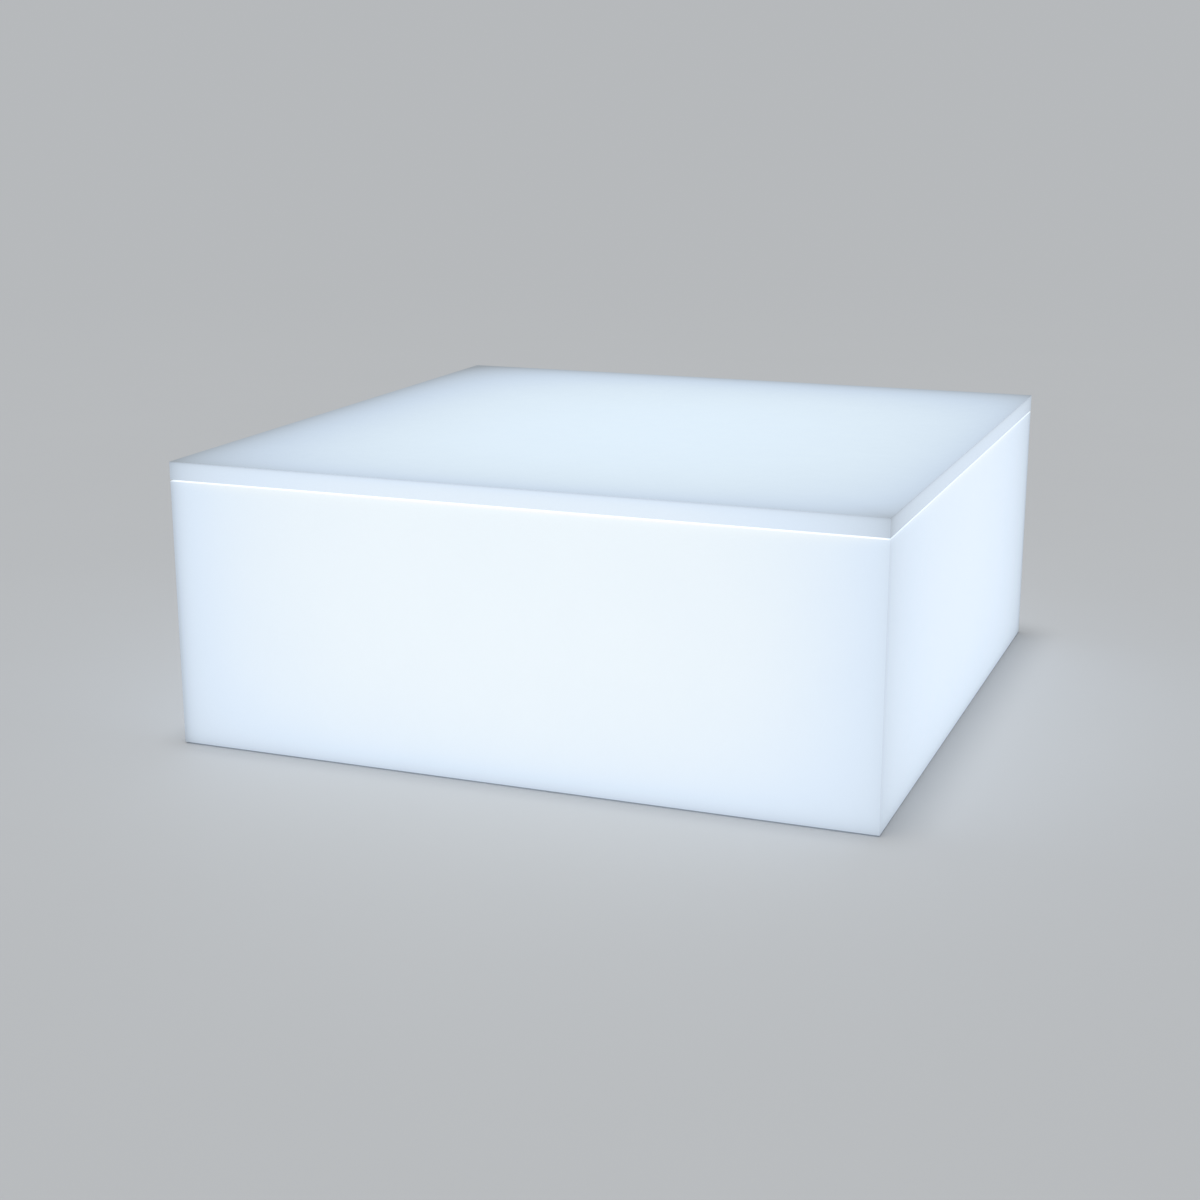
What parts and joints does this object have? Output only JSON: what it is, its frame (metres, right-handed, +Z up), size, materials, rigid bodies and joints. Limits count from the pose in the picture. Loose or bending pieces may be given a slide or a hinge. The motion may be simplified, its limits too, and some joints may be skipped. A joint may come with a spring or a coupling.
{
  "type": "led coffee table",
  "caption": "Low square coffee table: an opal acrylic box lit from inside, on small rubber feet, with a lift-off lid.",
  "frame": {"origin": "on the floor, under the middle of the table", "axes": "+Z up; +X to the right seen from the front; the front faces -Y and the charging port is in the back wall, towards +Y"},
  "size_m": [1, 1, 0.404],
  "materials": {
    "opal_acrylic": "milky white acrylic sheet, satin polished, lit from inside",
    "clear_acrylic": "clear polished acrylic bar and tube",
    "base_board": "white sheet, fine matte",
    "foot_rubber": "moulded black rubber",
    "screw_steel": "zinc-plated steel",
    "bar_board": "aluminium circuit board under white solder mask",
    "led_phosphor": "LED phosphor",
    "lens_plastic": "clear moulded lens",
    "terminal_plastic": "cream moulded plastic",
    "white_moulding": "white moulded plastic, fine texture",
    "silicone": "translucent silicone",
    "cell_sleeve": "shrink sleeve over a steel can",
    "circuit_board": "green solder mask",
    "board_components": "aluminium cans, ferrite and black plastic",
    "plate_grey": "light grey moulded plastic",
    "nickel": "nickel-plated brass, satin",
    "socket_black": "black moulded plastic",
    "button_steel": "satin steel",
    "spring_steel": "spring wire",
    "cover_rubber": "moulded dark grey rubber",
    "pin_steel": "ground steel pin",
    "lead_jacket": "white cable jacket",
    "clip_nylon": "natural nylon"
  },
  "bodies": {
    "table": {"back_panel": "opal_acrylic", "bar_terminals": "terminal_plastic", "base_plate": "base_board", "base_rail_back": "clear_acrylic", "base_rail_front": "clear_acrylic", "base_rail_left": "clear_acrylic", "base_rail_right": "clear_acrylic", "base_screws": "screw_steel", "battery_case": "white_moulding", "battery_cells": "cell_sleeve", "battery_cover": "white_moulding", "battery_lead": "lead_jacket", "board_parts": "board_components", "button_spring": "spring_steel", "centre_post": "clear_acrylic", "charge_lead": "lead_jacket", "charge_socket": "socket_black", "control_plate": "plate_grey", "controller_board": "circuit_board", "controller_case": "white_moulding", "controller_cover": "white_moulding", "corner_block_back_left": "clear_acrylic", "corner_block_back_right": "clear_acrylic", "corner_block_front_left": "clear_acrylic", "corner_block_front_right": "clear_acrylic", "feed_leads": "lead_jacket", "foot_screws": "screw_steel", "front_panel": "opal_acrylic", "hinge_pin": "pin_steel", "inner_screws": "screw_steel", "lead_clips": "clip_nylon", "led_bar_1": "bar_board", "led_bar_2": "bar_board", "led_bar_3": "bar_board", "led_bar_4": "bar_board", "led_chips": "led_phosphor", "led_lenses": "lens_plastic", "left_panel": "opal_acrylic", "lid_rest_back": "clear_acrylic", "lid_rest_front": "clear_acrylic", "lid_rest_left": "clear_acrylic", "lid_rest_right": "clear_acrylic", "link_leads": "lead_jacket", "panel_nuts": "nickel", "plate_screws": "screw_steel", "post_cap": "silicone", "post_socket": "white_moulding", "right_panel": "opal_acrylic", "rubber_feet": "foot_rubber", "switch_body": "nickel", "switch_lead": "lead_jacket"},
    "lid": {"lid_panel": "opal_acrylic", "lid_skirt_front": "opal_acrylic", "lid_skirt_back": "opal_acrylic", "lid_skirt_left": "opal_acrylic", "lid_skirt_right": "opal_acrylic"},
    "button": {"power_button": "button_steel"},
    "port_flap": {"port_cover": "cover_rubber"}
  },
  "joints": [
    {"name": "lid_lift", "type": "slide", "parent": "table", "child": "lid", "axis": [0, 0, 1], "range_m": [0, 0.3]},
    {"name": "power_button_press", "type": "slide", "parent": "table", "child": "button", "axis": [0, -1, 0], "range_m": [0, 0.0015], "stiffness_N_per_m": 600, "springref_m": -0.001, "deforming": ["button_spring"]},
    {"name": "port_cover_swing", "type": "hinge", "parent": "table", "child": "port_flap", "pos_m": [-0.022, 0.4928, 0.072], "axis": [1, 0, 0], "range_deg": [0, 100]}
  ]
}
